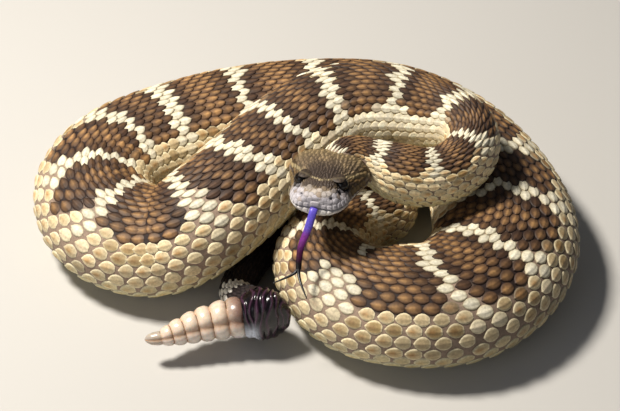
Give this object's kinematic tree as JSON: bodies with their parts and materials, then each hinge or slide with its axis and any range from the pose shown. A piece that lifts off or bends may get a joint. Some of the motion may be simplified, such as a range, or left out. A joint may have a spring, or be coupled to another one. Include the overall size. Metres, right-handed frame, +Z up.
{
  "type": "coiled rattlesnake",
  "caption": "Life-size still model of a rattlesnake lying in a low coil with its head raised, tongue out and rattle beside it.",
  "frame": {"origin": "on the ground under the middle of the coil's outline box", "axes": "+Z up, -Y the way the snout points, +X along the coil's longer side, towards the right of the picture"},
  "size_m": [0.2454, 0.188, 0.0746],
  "materials": {
    "head_skin": "matt, fine rough scales",
    "lip_skin": "matt, smooth shields",
    "eye": "glossy",
    "tongue": "wet, glossy",
    "body_skin": "keeled scales with a low sheen",
    "tail_skin": "keeled scales with a low sheen",
    "rattle_dark": "smooth horn, glossy",
    "rattle_pale": "smooth horn, slightly see-through"
  },
  "bodies": {
    "root": {"head": "head_skin", "jaw": "lip_skin", "eye_left": "eye", "eye_right": "eye", "tongue": "tongue", "neck": "body_skin", "neck_bend": "body_skin", "upper_coil": "body_skin", "sloping_coil": "body_skin", "left_coil_front": "body_skin", "left_coil_back": "body_skin", "rear_coil": "body_skin", "rear_coil_right": "body_skin", "right_coil": "body_skin", "front_coil": "body_skin", "inner_coil_turn": "body_skin", "inner_coil": "body_skin", "hind_body": "body_skin", "tail_base": "tail_skin", "tail": "tail_skin", "rattle_1": "rattle_dark", "rattle_2": "rattle_dark", "rattle_3": "rattle_dark", "rattle_4": "rattle_dark", "rattle_5": "rattle_pale", "rattle_6": "rattle_pale", "rattle_7": "rattle_pale", "rattle_8": "rattle_pale", "rattle_9": "rattle_pale", "rattle_10": "rattle_pale", "rattle_11": "rattle_pale"}
  },
  "joints": []
}
